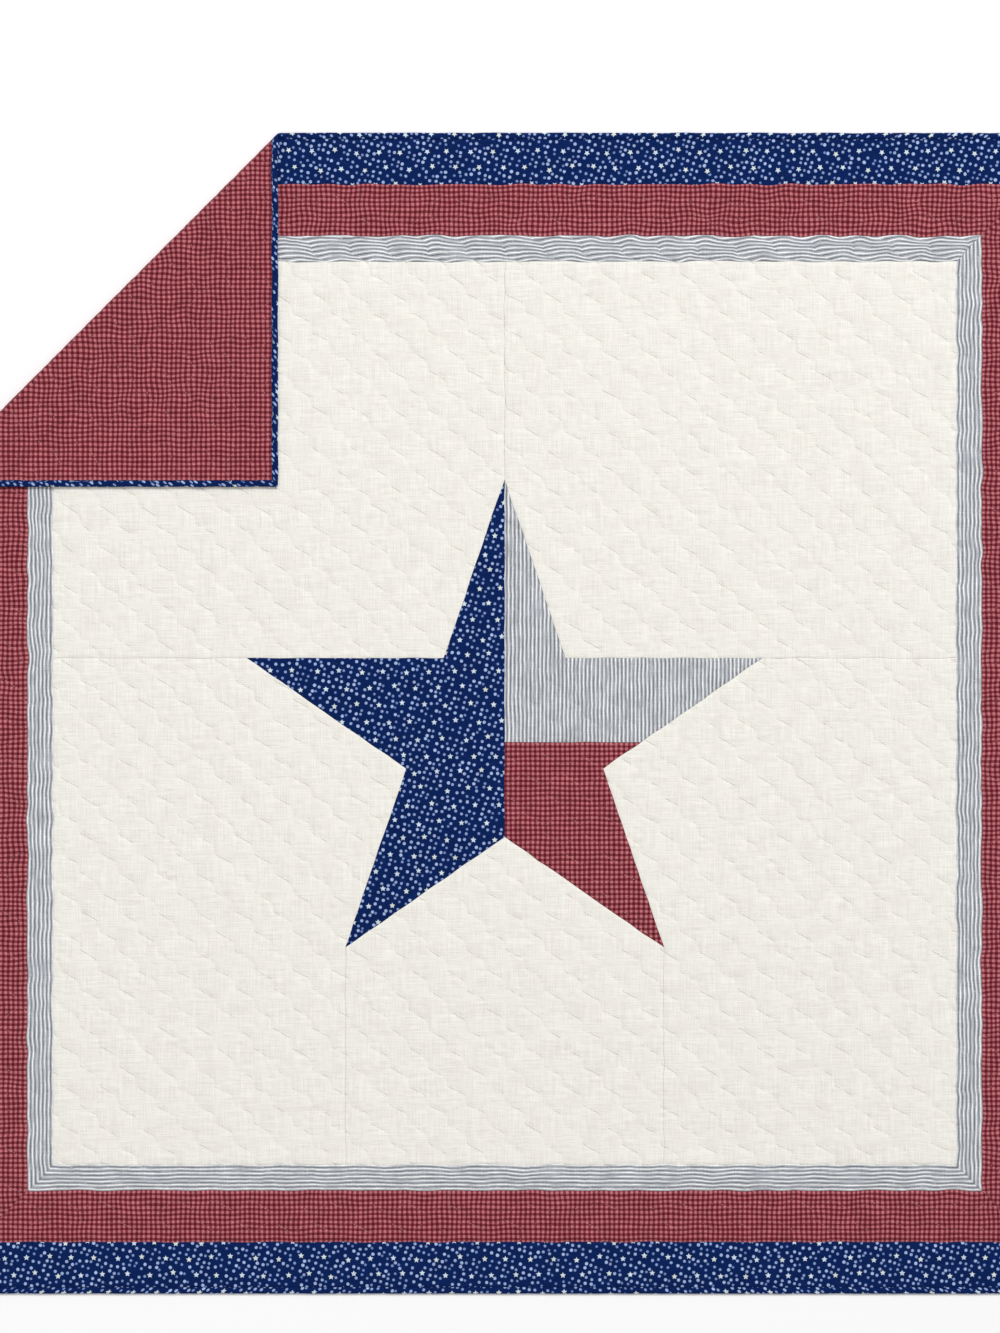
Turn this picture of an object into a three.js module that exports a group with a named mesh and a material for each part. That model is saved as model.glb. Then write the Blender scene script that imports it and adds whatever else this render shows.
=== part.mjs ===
// A square star quilt lying face up, with its top left corner folded over its face.
// Millimetres, +Z up, origin at the middle of the quilt on the surface that it lies on.
// The quilt is drawn as flat cloth (u to the right, v towards the top edge, w up from the
// backing's outer face), and one function then folds the corner of every piece over.
import * as THREE from 'three';

// Driving dimensions
const INCH = 25.4;
const QUILT_HALF = 45 * INCH; // the finished quilt is 90 in square
const NAVY_BORDER = 4 * INCH;
const RED_BORDER = 4 * INCH;
const TICKING_BORDER = 2 * INCH;
const BINDING_WIDTH = 0.5 * INCH;
const SEAM_GAP = 0.3; // between neighbouring pieces and between layers

// Heights above the backing's outer face
const BACKING_THICK = 1.4;
const TOP_UNDERSIDE = BACKING_THICK + SEAM_GAP;
const TOP_AT_STITCHES = 4.4;
const TOP_LOFT = 2; // rise of a full quilted square between its stitches
const BACKING_LOFT = 0.8; // the same on the backing, only where the corner is turned up

// Quilting: two crossing sets of diagonal lines on a 3 in grid, every second one raised here
const QUILT_GRID = 3 * INCH;
const GRIDS_PER_LINE = 2;
const LINE_PITCH = (GRIDS_PER_LINE * QUILT_GRID) / Math.SQRT2;

// Folded corner: the crease crosses the top and the left edge this far from the corner
const FOLD_LEG = 27.5 * INCH;
const FOLD_RADIUS = 7; // of the cloth's middle layer, round the crease
const FOLD_STEPS = 8;
const FLAP_CLEARANCE = 0.6; // between the two faces where the flap has settled
const FLAP_SETTLES = 130; // length over which the flap comes down behind the crease
const SETTLE_STEPS = 4;

// Star: a regular five-point star, a little flattened, with its cross seam below the middle
const STAR_RADIUS = 21 * INCH;
const STAR_FLATTEN = 0.955;
const STAR_CENTRE_V = -49;
const STAR_CROSS_SEAM_V = -57;
const INNER_RADIUS_SHARE = (3 - Math.sqrt(5)) / 2; // notch radius of a star whose edges line up

const FIELD_HALF = QUILT_HALF - NAVY_BORDER - RED_BORDER - TICKING_BORDER;
const CLOTH_THICK = TOP_AT_STITCHES + TOP_LOFT;
const MIDDLE = CLOTH_THICK / 2;
const POINT_TOLERANCE = 0.05; // a plan point this near a line counts as on it

// Colours and gloss of the four fabrics
const FABRICS = {
  cream_muslin: { color: 0xf3f0e8, roughness: 0.92 },
  navy_star_print: { color: 0x14235e, roughness: 0.88 },
  ticking_stripe: { color: 0xbcc1cc, roughness: 0.9 },
  red_gingham: { color: 0xa0404f, roughness: 0.9 },
};

const point = (u, v) => new THREE.Vector2(u, v);
const ACROSS_FOLD = point(-Math.SQRT1_2, Math.SQRT1_2); // towards the folded corner
const ALONG_FOLD = point(Math.SQRT1_2, Math.SQRT1_2);

// Where the cloth leaves the surface, as a distance from the middle towards the corner
const CREASE = (2 * QUILT_HALF - FOLD_LEG) / Math.SQRT2;
const FOLD_START = CREASE - FOLD_RADIUS - MIDDLE;

// Cross-section of the fold as knots along the cloth's middle layer: run is the length of
// cloth past FOLD_START, reach and height are the knot's place, and out points to the backing.
function foldSection() {
  const knots = [];
  const axisHeight = MIDDLE + FOLD_RADIUS;
  for (let i = 0; i <= FOLD_STEPS; i++) {
    const turn = (Math.PI * i) / FOLD_STEPS;
    const out = point(Math.sin(turn), -Math.cos(turn));
    knots.push({
      run: FOLD_RADIUS * turn,
      reach: FOLD_RADIUS * out.x,
      height: axisHeight + FOLD_RADIUS * out.y,
      out,
    });
  }
  const { run: roundRun, height: topHeight } = knots[FOLD_STEPS];
  const settledHeight = CLOTH_THICK + FLAP_CLEARANCE + MIDDLE;
  for (let i = 1; i <= SETTLE_STEPS; i++) {
    const share = i / SETTLE_STEPS;
    const eased = (1 - Math.cos(Math.PI * share)) / 2;
    knots.push({
      run: roundRun + share * FLAP_SETTLES,
      reach: -share * FLAP_SETTLES,
      height: THREE.MathUtils.lerp(topHeight, settledHeight, eased),
      out: point(0, 1),
    });
  }
  return knots;
}

const FOLD = foldSection();

// Carries a point of the flat cloth to its place on the folded quilt.
function foldOver(p, w) {
  const run = p.dot(ACROSS_FOLD) - FOLD_START;
  if (run <= 0) return new THREE.Vector3(p.x, p.y, w);
  const last = FOLD[FOLD.length - 1];
  const next = FOLD.findIndex((knot) => knot.run > run);
  let { reach, height, out } = last;
  if (next < 0) {
    reach -= run - last.run;
  } else {
    const [from, to] = [FOLD[next - 1], FOLD[next]];
    const share = (run - from.run) / (to.run - from.run);
    reach = THREE.MathUtils.lerp(from.reach, to.reach, share);
    height = THREE.MathUtils.lerp(from.height, to.height, share);
    out = from.out.clone().lerp(to.out, share);
  }
  const towards = FOLD_START + reach + (MIDDLE - w) * out.x;
  const place = ACROSS_FOLD.clone().multiplyScalar(towards);
  place.addScaledVector(ALONG_FOLD, p.dot(ALONG_FOLD));
  return new THREE.Vector3(place.x, place.y, height + (MIDDLE - w) * out.y);
}

// Splits a convex outline along the line where p.normal equals offset.
function splitAt(outline, normal, offset) {
  const sides = outline.map((p) => {
    const d = p.dot(normal) - offset;
    return Math.abs(d) < POINT_TOLERANCE ? 0 : d;
  });
  if (!sides.some((d) => d < 0) || !sides.some((d) => d > 0)) return [outline];
  const below = [];
  const above = [];
  outline.forEach((p, i) => {
    const j = (i + 1) % outline.length;
    if (sides[i] <= 0) below.push(p);
    if (sides[i] >= 0) above.push(p);
    if (sides[i] * sides[j] < 0) {
      const crossing = p.clone().lerp(outline[j], sides[i] / (sides[i] - sides[j]));
      below.push(crossing);
      above.push(crossing);
    }
  });
  return [below, above];
}

function splitAll(outlines, normal, offsets) {
  return offsets.reduce(
    (cells, offset) => cells.flatMap((cell) => splitAt(cell, normal, offset)),
    outlines,
  );
}

const foldOffsets = FOLD.map((knot) => FOLD_START + knot.run);
const lineCount = Math.floor((QUILT_HALF * Math.SQRT2) / LINE_PITCH);
const quiltOffsets = Array.from(
  { length: 2 * lineCount + 1 },
  (_, i) => (i - lineCount) * LINE_PITCH,
);

// Cuts only where the cloth bends, or there and along the quilting lines as well.
const cutAtFold = (outlines) => splitAll(outlines, ACROSS_FOLD, foldOffsets);
const cutAtQuilting = (outlines) =>
  splitAll(splitAll(cutAtFold(outlines), ACROSS_FOLD, quiltOffsets), ALONG_FOLD, quiltOffsets);

function areaOf(outline) {
  return THREE.ShapeUtils.area(outline);
}

function centroidOf(outline) {
  const sum = outline.reduce((total, p) => total.add(p), point(0, 0));
  return sum.divideScalar(outline.length);
}

// How full a cell puffs up, from 0 for a sliver to 1 for a whole quilted square.
function fullness(outline) {
  const perimeter = outline.reduce(
    (sum, p, i) => sum + p.distanceTo(outline[(i + 1) % outline.length]),
    0,
  );
  return Math.min(1, (4 * areaOf(outline)) / (perimeter * LINE_PITCH));
}

// The directed edges of the cells that no neighbouring cell shares.
function rimEdges(cells) {
  const edges = new Map();
  cells.forEach((cell) =>
    cell.forEach((from, i) => {
      const to = cell[(i + 1) % cell.length];
      if (!edges.delete(`${to} ${from}`)) edges.set(`${from} ${to}`, [from, to]);
    }),
  );
  return [...edges.values()];
}

// Adds to a cell each listed point that lies along one of its edges.
function withPointsOnEdges(cell, points, candidates) {
  return cell.flatMap((from, i) => {
    const to = cell[(i + 1) % cell.length];
    const [p, q] = [points[from], points[to]];
    const length = p.distanceTo(q);
    const along = q.clone().sub(p).divideScalar(length);
    const found = candidates
      .map((k) => ({ k, step: points[k].clone().sub(p) }))
      .filter(({ k, step }) => {
        const run = step.dot(along);
        const inside = run > POINT_TOLERANCE && run < length - POINT_TOLERANCE;
        return k !== from && k !== to && inside && Math.abs(step.cross(along)) < POINT_TOLERANCE;
      })
      .sort((one, other) => one.step.dot(along) - other.step.dot(along));
    return [from, ...found.map(({ k }) => k)];
  });
}

// One closed cloth piece between an upper and a lower face, each cut into its own cells.
// upper and lower give the height at a point; their second value is a cell's fullness in
// the middle of the cell and 0 on its edges.
function clothPiece(name, fabric, { upperCells, lowerCells, upper, lower }) {
  const points = [];
  const known = new Map();
  const indexOf = (p) => {
    const key = `${Math.round(p.x * 1e3)} ${Math.round(p.y * 1e3)}`;
    if (!known.has(key)) known.set(key, points.push(p) - 1);
    return known.get(key);
  };
  const toIndices = (cells) => cells.map((cell) => [...new Set(cell.map(indexOf))]);
  let faces = [toIndices(upperCells), toIndices(lowerCells)];
  const rims = faces.map((cells) => [...new Set(rimEdges(cells).flat())]);
  const candidates = faces.map((cells, side) => [...new Set([...cells.flat(), ...rims[1 - side]])]);
  faces = faces.map((cells, side) =>
    cells.map((cell) => withPointsOnEdges(cell, points, candidates[side])),
  );

  const triangles = [];
  const heights = [upper, lower];
  faces.forEach((cells, side) =>
    cells.forEach((cell) => {
      const outline = cell.map((k) => points[k]);
      const middle = centroidOf(outline);
      const peak = foldOver(middle, heights[side](middle, fullness(outline)));
      const ring = outline.map((p) => foldOver(p, heights[side](p, 0)));
      ring.forEach((corner, i) => {
        const next = ring[(i + 1) % ring.length];
        triangles.push(...(side ? [peak, next, corner] : [peak, corner, next]));
      });
    }),
  );
  rimEdges(faces[0]).forEach(([from, to]) => {
    const [p, q] = [points[from], points[to]];
    const [high, low] = [foldOver(p, upper(p, 0)), foldOver(p, lower(p, 0))];
    const [nextHigh, nextLow] = [foldOver(q, upper(q, 0)), foldOver(q, lower(q, 0))];
    // The wall twists where the cloth bends, so its diagonal always runs the same way and
    // the two walls of a seam stay parallel.
    const rising = p.dot(ACROSS_FOLD) < q.dot(ACROSS_FOLD);
    const wall = rising
      ? [high, low, nextLow, high, nextLow, nextHigh]
      : [high, low, nextHigh, low, nextLow, nextHigh];
    triangles.push(...wall);
  });

  const geometry = new THREE.BufferGeometry().setFromPoints(triangles);
  geometry.computeVertexNormals();
  const material = new THREE.MeshStandardMaterial({ ...FABRICS[fabric], metalness: 0 });
  const mesh = new THREE.Mesh(geometry, material);
  mesh.name = name;
  return mesh;
}

// Moves each side of a counter-clockwise outline inwards by half a seam gap.
function insetByHalfGap(outline) {
  const lines = outline.map((p, i) => {
    const along = outline[(i + 1) % outline.length].clone().sub(p).normalize();
    return { along, start: p.clone().add(point(-along.y, along.x).multiplyScalar(SEAM_GAP / 2)) };
  });
  return lines.map((line, i) => {
    const before = lines[(i + lines.length - 1) % lines.length];
    const turn = before.along.cross(line.along);
    if (Math.abs(turn) < 1e-9) return line.start;
    const step = line.start.clone().sub(before.start).cross(line.along) / turn;
    return before.start.clone().addScaledVector(before.along, step);
  });
}

// A piece of the quilt top, puffed between the quilting lines. parts lists the convex parts
// of its outline by the outline's own corner numbers.
function topPiece(name, fabric, corners, parts = [corners.map((_, i) => i)]) {
  const outline = insetByHalfGap(corners);
  const convex = parts.map((part) => part.map((i) => outline[i]));
  return clothPiece(name, fabric, {
    upperCells: cutAtQuilting(convex),
    lowerCells: cutAtFold(convex),
    upper: (_, full) => TOP_AT_STITCHES + TOP_LOFT * full,
    lower: () => TOP_UNDERSIDE,
  });
}

// The star's corners, by their angle from the middle: tips and notches alternate.
function starCorner(degrees, share = 1) {
  const angle = THREE.MathUtils.degToRad(degrees);
  const radius = STAR_RADIUS * share;
  return point(
    radius * Math.cos(angle),
    STAR_CENTRE_V + STAR_FLATTEN * radius * Math.sin(angle),
  );
}

const tip = { top: starCorner(90), left: starCorner(162), right: starCorner(18) };
tip.lowLeft = starCorner(234);
tip.lowRight = starCorner(306);
const notch = {
  upLeft: starCorner(126, INNER_RADIUS_SHARE),
  upRight: starCorner(54, INNER_RADIUS_SHARE),
  left: starCorner(198, INNER_RADIUS_SHARE),
  right: starCorner(342, INNER_RADIUS_SHARE),
  bottom: starCorner(270, INNER_RADIUS_SHARE),
};
const heart = point(0, STAR_CROSS_SEAM_V); // where the star's two seams meet
const armShare = (heart.y - tip.right.y) / (notch.right.y - tip.right.y);
const crossSeamEnd = tip.right.clone().lerp(notch.right, armShare);

function starPieces() {
  return [
    topPiece(
      'star_left_navy',
      'navy_star_print',
      [tip.top, notch.upLeft, tip.left, notch.left, tip.lowLeft, notch.bottom, heart],
      [
        [0, 1, 6],
        [1, 2, 3, 6],
        [3, 4, 5, 6],
      ],
    ),
    topPiece(
      'star_upper_right_ticking',
      'ticking_stripe',
      [heart, crossSeamEnd, tip.right, notch.upRight, tip.top],
      [
        [0, 1, 2, 3],
        [0, 3, 4],
      ],
    ),
    topPiece(
      'star_lower_right_gingham',
      'red_gingham',
      [heart, notch.bottom, tip.lowRight, notch.right, crossSeamEnd],
      [
        [0, 1, 2, 3],
        [0, 3, 4],
      ],
    ),
  ];
}

// The cream ground, cut along the seams that run from the star's tips to the border.
function fieldPieces() {
  const edge = FIELD_HALF;
  const [sideV, lowV] = [tip.left.y, tip.lowLeft.y];
  const mirrored = (corners) => corners.map((p) => point(-p.x, p.y)).reverse();
  const upper = [
    point(0, edge),
    point(-edge, edge),
    point(-edge, sideV),
    tip.left,
    notch.upLeft,
    tip.top,
  ];
  const lower = [
    tip.left,
    point(-edge, sideV),
    point(-edge, lowV),
    point(-edge, -edge),
    point(tip.lowLeft.x, -edge),
    tip.lowLeft,
    notch.left,
  ];
  const bottom = [
    point(tip.lowLeft.x, -edge),
    point(tip.lowRight.x, -edge),
    tip.lowRight,
    notch.bottom,
    tip.lowLeft,
  ];
  const lowerParts = [
    [0, 1, 2, 5, 6],
    [2, 3, 4, 5],
  ];
  const mirroredParts = lowerParts.map((part) =>
    part.map((i) => lower.length - 1 - i).reverse(),
  );
  return [
    topPiece('field_upper_left', 'cream_muslin', upper),
    topPiece('field_upper_right', 'cream_muslin', mirrored(upper)),
    topPiece('field_lower_left', 'cream_muslin', lower, lowerParts),
    topPiece('field_lower_right', 'cream_muslin', mirrored(lower), mirroredParts),
    topPiece('field_bottom_middle', 'cream_muslin', bottom),
  ];
}

// A mitred strip between two squares, on the side that lies the given quarter turns round
// from the right-hand side.
function mitredStrip(innerHalf, outerHalf, quarterTurns) {
  const strip = [
    point(innerHalf, -innerHalf),
    point(outerHalf, -outerHalf),
    point(outerHalf, outerHalf),
    point(innerHalf, innerHalf),
  ];
  const middle = point(0, 0);
  return strip.map((p) => p.rotateAround(middle, (quarterTurns * Math.PI) / 2));
}

const SIDES = ['right', 'top', 'left', 'bottom'];
const BORDERS = [
  { label: 'ticking', fabric: 'ticking_stripe', width: TICKING_BORDER },
  { label: 'gingham', fabric: 'red_gingham', width: RED_BORDER },
  { label: 'navy', fabric: 'navy_star_print', width: NAVY_BORDER - BINDING_WIDTH },
];

function borderStrips() {
  let innerHalf = FIELD_HALF;
  return BORDERS.flatMap(({ label, fabric, width }) => {
    const outerHalf = innerHalf + width;
    const strips = SIDES.map((side, turns) =>
      topPiece(`border_${label}_${side}`, fabric, mitredStrip(innerHalf, outerHalf, turns)),
    );
    innerHalf = outerHalf;
    return strips;
  });
}

// The backing: flat where it lies, and softly quilted where the corner turns it up.
function backing() {
  const half = QUILT_HALF - BINDING_WIDTH;
  const square = [point(-half, -half), point(half, -half), point(half, half), point(-half, half)];
  const cloth = [insetByHalfGap(square)];
  const [lying, turnedUp] = splitAt(cloth[0], ACROSS_FOLD, FOLD_START);
  const roundEnd = FOLD_START + FOLD[FOLD_STEPS].run;
  return clothPiece('backing', 'red_gingham', {
    upperCells: cutAtFold(cloth),
    lowerCells: [lying, ...cutAtQuilting([turnedUp])],
    upper: () => BACKING_THICK,
    lower: (p, full) => (p.dot(ACROSS_FOLD) > roundEnd ? -BACKING_LOFT * full : 0),
  });
}

// The binding's height at each distance in from the quilt's edge: a soft rounded rim.
const BINDING_PROFILE = [
  { inward: 0, height: 3.4 },
  { inward: 3, height: 5.4 },
  { inward: 9, height: 5.8 },
  { inward: BINDING_WIDTH - SEAM_GAP / 2, height: 4.6 },
];

function binding() {
  const rings = BINDING_PROFILE.slice(1).map((row, i) => ({
    inner: QUILT_HALF - row.inward,
    outer: QUILT_HALF - BINDING_PROFILE[i].inward,
  }));
  const parts = rings.flatMap(({ inner, outer }) =>
    SIDES.map((_, turns) => mitredStrip(inner, outer, turns)),
  );
  const height = (p) => {
    const inward = QUILT_HALF - Math.max(Math.abs(p.x), Math.abs(p.y));
    const next = BINDING_PROFILE.findIndex((row) => row.inward >= inward - POINT_TOLERANCE);
    const [from, to] = [BINDING_PROFILE[Math.max(0, next - 1)], BINDING_PROFILE[next]];
    if (from === to) return to.height;
    const share = (inward - from.inward) / (to.inward - from.inward);
    return THREE.MathUtils.lerp(from.height, to.height, share);
  };
  const cells = cutAtFold(parts);
  return clothPiece('binding', 'navy_star_print', {
    upperCells: cells,
    lowerCells: cells,
    upper: height,
    lower: () => 0,
  });
}

const quilt = new THREE.Group();
quilt.name = 'star_quilt';
quilt.add(...fieldPieces(), ...starPieces(), ...borderStrips(), backing(), binding());

export default quilt;
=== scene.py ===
"""A patchwork star quilt that lies flat on a pale floor, with its top left corner folded over.

The quilt is cut and quilted as flat cloth, in metres: u runs to the right, v towards the top
edge and w up from the backing's outer face. The same fold then carries every piece over.
"""

import logging
import math
from collections.abc import Callable, Iterable
from dataclasses import dataclass, field
from enum import Enum
from functools import partial

import bmesh
import bpy
import numpy as np
from mathutils import Matrix, Vector


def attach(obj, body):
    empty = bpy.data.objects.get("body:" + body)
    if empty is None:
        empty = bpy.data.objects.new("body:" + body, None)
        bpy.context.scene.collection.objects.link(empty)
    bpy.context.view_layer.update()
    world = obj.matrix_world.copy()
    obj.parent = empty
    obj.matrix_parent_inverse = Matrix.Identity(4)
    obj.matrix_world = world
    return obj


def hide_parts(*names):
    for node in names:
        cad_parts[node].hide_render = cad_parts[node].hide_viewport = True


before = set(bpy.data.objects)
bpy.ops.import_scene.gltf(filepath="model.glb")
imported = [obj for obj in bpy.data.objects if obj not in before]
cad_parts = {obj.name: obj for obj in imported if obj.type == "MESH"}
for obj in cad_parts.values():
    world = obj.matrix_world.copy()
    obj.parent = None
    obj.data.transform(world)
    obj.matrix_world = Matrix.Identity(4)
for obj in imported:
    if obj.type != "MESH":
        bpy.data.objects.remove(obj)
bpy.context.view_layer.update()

log = logging.getLogger("star_quilt")

MM = 0.001
INCH = 25.4 * MM
ACROSS = np.array((-1.0, 1.0)) / math.sqrt(2.0)  # unit step towards the folded corner
ALONG = np.array((1.0, 1.0)) / math.sqrt(2.0)  # unit step along the crease
QUARTER_TURN = math.pi / 2
SHARP_EDGE = math.radians(60)
BODY = "root"
STEP_LAYERS = ("alpha", "beta")  # steps across and along the crease, in quilted squares
WRAP_LAYERS = ("way", "girth")  # places along and round the binding, in metres

Corner = tuple[float, float]
Outline = list[Corner]
Seam = tuple[Corner, Corner]
Socket = bpy.types.NodeSocket
Level = Socket | float
Colour = Socket | tuple[float, ...]


class Fabric(Enum):
    """The four cloths of the quilt, by their material names."""

    CREAM = "cream_muslin"
    NAVY = "navy_star_print"
    TICKING = "ticking_stripe"
    GINGHAM = "red_gingham"


Cloths = dict[Fabric, bpy.types.Material]


def linear(hex_colour: str) -> tuple[float, float, float, float]:
    """Turns an sRGB hex value into a linear colour.

    Args:
        hex_colour: Six hex digits, such as "f4f0e8".

    Returns:
        Red, green, blue and an alpha of 1.
    """
    channels = [int(hex_colour[i : i + 2], 16) / 255 for i in (0, 2, 4)]
    bent = [c / 12.92 if c <= 0.04045 else ((c + 0.055) / 1.055) ** 2.4 for c in channels]
    return (*bent, 1.0)


def add_node(
    tree: bpy.types.NodeTree, kind: str, inputs: dict | None = None, **settings: object
) -> bpy.types.Node:
    """Adds a shader node with its settings and links.

    Args:
        tree: The node tree that it joins.
        kind: The node's type name without the ShaderNode prefix.
        inputs: What goes into each socket, by name or number: a value or another socket.
        **settings: Properties of the node, such as operation.

    Returns:
        The new node.
    """
    node = tree.nodes.new(f"ShaderNode{kind}")
    for name, value in settings.items():
        setattr(node, name, value)
    for socket, value in (inputs or {}).items():
        if isinstance(value, Socket):
            tree.links.new(value, node.inputs[socket])
        else:
            node.inputs[socket].default_value = value
    return node


@dataclass
class PatternBench:
    """A node tree with the few sums that woven and printed patterns are drawn with."""

    tree: bpy.types.NodeTree

    def sum(self, operation: str, *values: Level, clamp: bool = False) -> Socket:
        """Adds a Math node on up to three values and returns its result."""
        settings = {"operation": operation, "use_clamp": clamp}
        return add_node(self.tree, "Math", dict(enumerate(values)), **settings).outputs[0]

    def cloth_place(self, layer: str) -> tuple[Socket, Socket]:
        """Returns the two coordinates of a UV layer, in metres or in quilted squares."""
        return self.split(add_node(self.tree, "UVMap", uv_map=layer).outputs[0])

    def split(self, vector: Socket) -> tuple[Socket, Socket]:
        """Returns the two coordinates of a flat vector."""
        parts = add_node(self.tree, "SeparateXYZ", {0: vector}).outputs
        return parts[0], parts[1]

    def vector(self, x: Level, y: Level) -> Socket:
        """Returns the flat vector of two coordinates."""
        return add_node(self.tree, "CombineXYZ", {0: x, 1: y}).outputs[0]

    def length(self, x: Level, y: Level) -> Socket:
        """Returns the length of a flat vector."""
        measured = add_node(self.tree, "VectorMath", {0: self.vector(x, y)}, operation="LENGTH")
        return measured.outputs["Value"]

    def step(self, value: Level, low: float, high: float) -> Socket:
        """Returns a soft step from 0 where value is low to 1 where it is high."""
        inputs = {"Value": value, "From Min": low, "From Max": high}
        return add_node(self.tree, "MapRange", inputs, interpolation_type="SMOOTHSTEP").outputs[0]

    def mix(self, share: Level, first: Colour, second: Colour) -> Socket:
        """Returns the blend of two colours."""
        inputs = {0: share, 6: first, 7: second}
        return add_node(self.tree, "Mix", inputs, data_type="RGBA").outputs[2]

    def noise(
        self, u: Level, v: Level, u_size: float, v_size: float, detail: float = 2.0
    ) -> Socket:
        """Draws smooth noise.

        Args:
            u: Place along the first direction, in metres or in quilted squares.
            v: Place along the second direction.
            u_size: Size of a grain along u, in the measure of u.
            v_size: Size of a grain along v.
            detail: How many finer layers of noise are laid over the first.

        Returns:
            The noise, from 0 to 1.
        """
        place = self.vector(self.sum("DIVIDE", u, u_size), self.sum("DIVIDE", v, v_size))
        inputs = {"Vector": place, "Scale": 1.0, "Detail": detail, "Roughness": 0.55}
        return add_node(self.tree, "TexNoise", inputs, noise_dimensions="2D").outputs[0]


@dataclass(frozen=True)
class Cotton:
    """A woven quilting cotton: matt, with threads of its own scale and a sewn surface.

    thread is the thread spacing. Real quilting cotton has about 0.35 mm, which is too fine to
    show, so each cloth is drawn with threads as coarse as the picture needs. The stitches' gaps
    and the patches where the lines fade are shares of a stitch and of a quilted square. The line
    colour is the thread's, and on the muslin it is also painted shade of the stitched ditch.
    """

    slot: Fabric
    thread: float = 2.2 * MM
    thread_run: float = 34 * MM
    thread_shade: float = 0.10
    thread_contrast: float = 1.6
    thread_depth: float = 0.5 * MM
    thread_relief: float = 0.5
    wash: float = 0.09
    wash_size: float = 38 * MM
    roughness: float = 0.9
    sheen: float = 0.12
    gloss: float = 0.1
    # Colour of the quilting lines: the thread, and on the muslin painted shade of the ditch as
    # well.
    line_thread_and_shade_hex: str = "e4dfd2"
    stitch_shares: tuple[float, float] = (0.3, 0.5)
    stitch_width: float = 1.0 * MM
    stitch_core: float = 0.3
    stitch_pitch: float = 6.0 * MM
    stitch_gap: float = 0.45
    stitch_end: float = 0.08
    stitch_sinks: tuple[float, float] = (0.08, 0.22)
    stitch_depth: float = 0.6
    patch_size: float = 0.35
    patch_edge: tuple[float, float] = (0.3, 0.6)

    def colour(self, bench: PatternBench, u: Socket, v: Socket) -> Socket:
        """Returns the cloth's colour before threads and stitches are laid over it."""
        raise NotImplementedError

    def threads(self, bench: PatternBench, u: Socket, v: Socket) -> Socket:
        """Draws the crossing of the cloth's two sets of uneven threads.

        Args:
            bench: The node tree to draw in.
            u: Place along the cloth's grain, in metres.
            v: Place across the grain.

        Returns:
            How far up the threads stand, from 0 to 1.
        """
        warp = bench.noise(u, v, self.thread, self.thread_run)
        weft = bench.noise(u, v, self.thread_run, self.thread)
        crossed = bench.sum("ADD", warp, weft)
        mean = 0.5 - self.thread_contrast
        return bench.sum("MULTIPLY_ADD", crossed, self.thread_contrast, mean, clamp=True)

    def stitches(self, bench: PatternBench, square: float) -> Socket:
        """Draws the running stitches along the two sets of quilting lines, which on the muslin
        also carry painted shade of the stitched ditch.

        Args:
            bench: The node tree to draw in.
            square: Side of a quilted square, in metres.

        Returns:
            How strongly the stitches and their painted shade show, from 0 to 1.
        """
        lines = bench.cloth_place("stitches")
        width, pitch = self.stitch_width / square, self.stitch_pitch / square
        gap, end = self.stitch_gap * pitch / 2, self.stitch_end * pitch
        laid = []
        for (across, along), share in zip((lines, lines[::-1]), self.stitch_shares):
            offset = bench.sum("PINGPONG", across, 0.5)
            near = bench.step(offset, width, self.stitch_core * width)
            dash = bench.sum("PINGPONG", along, pitch / 2)
            held = bench.step(dash, gap - end, gap + end)
            # The line's steep part at each crossing sinks into the cloth and hardly shows; where
            # the line is painted shade, this also follows the light from the top, which shades the
            # flatter part of each wave most.
            level = bench.step(bench.sum("PINGPONG", along, 0.5), *self.stitch_sinks)
            # The line breaks off in patches; on the muslin these are gaps in its painted shade.
            patchy_level = bench.noise(*lines, self.patch_size, self.patch_size, 1.0)
            shown = bench.sum("MULTIPLY", level, bench.step(patchy_level, *self.patch_edge))
            drawn = bench.sum("MULTIPLY", bench.sum("MULTIPLY", near, held), shown)
            laid.append(bench.sum("MULTIPLY", drawn, share))
        return bench.sum("MAXIMUM", *laid)

    def material(self, square: float) -> bpy.types.Material:
        """Builds the material.

        Args:
            square: Side of a quilted square, in metres.

        Returns:
            A material that follows the piece's own cloth and stitch coordinates.
        """
        made = bpy.data.materials.new(self.slot.value)
        made.use_nodes = True
        tree = made.node_tree
        bench = PatternBench(tree)
        shader = tree.nodes["Principled BSDF"]
        u, v = bench.cloth_place("cloth")
        threads = self.threads(bench, u, v)
        woven = bench.sum("MULTIPLY_ADD", threads, 2 * self.thread_shade, 1 - self.thread_shade)
        washed = bench.noise(u, v, self.wash_size, self.wash_size, 3.0)
        patchy_level = bench.sum("MULTIPLY_ADD", washed, 4 * self.wash, 1 - 2 * self.wash)
        shade = bench.sum("MULTIPLY", woven, patchy_level)
        grey = add_node(tree, "CombineColor", {0: shade, 1: shade, 2: shade}).outputs[0]
        inputs = {0: 1.0, 6: self.colour(bench, u, v), 7: grey}
        shaded = add_node(tree, "Mix", inputs, data_type="RGBA", blend_type="MULTIPLY").outputs[2]
        stitches = self.stitches(bench, square)
        # The line colour goes over the cloth: thread, and on the muslin painted shade of the
        # stitched ditch.
        sewn = bench.mix(stitches, shaded, linear(self.line_thread_and_shade_hex))
        tree.links.new(sewn, shader.inputs["Base Color"])
        relief = bench.sum("MULTIPLY_ADD", stitches, -self.stitch_depth, threads)
        inputs = {"Height": relief, "Strength": self.thread_relief, "Distance": self.thread_depth}
        tree.links.new(add_node(tree, "Bump", inputs).outputs[0], shader.inputs["Normal"])
        shader.inputs["Roughness"].default_value = self.roughness
        shader.inputs["Sheen Weight"].default_value = self.sheen
        shader.inputs["Specular IOR Level"].default_value = self.gloss
        return made


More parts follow.
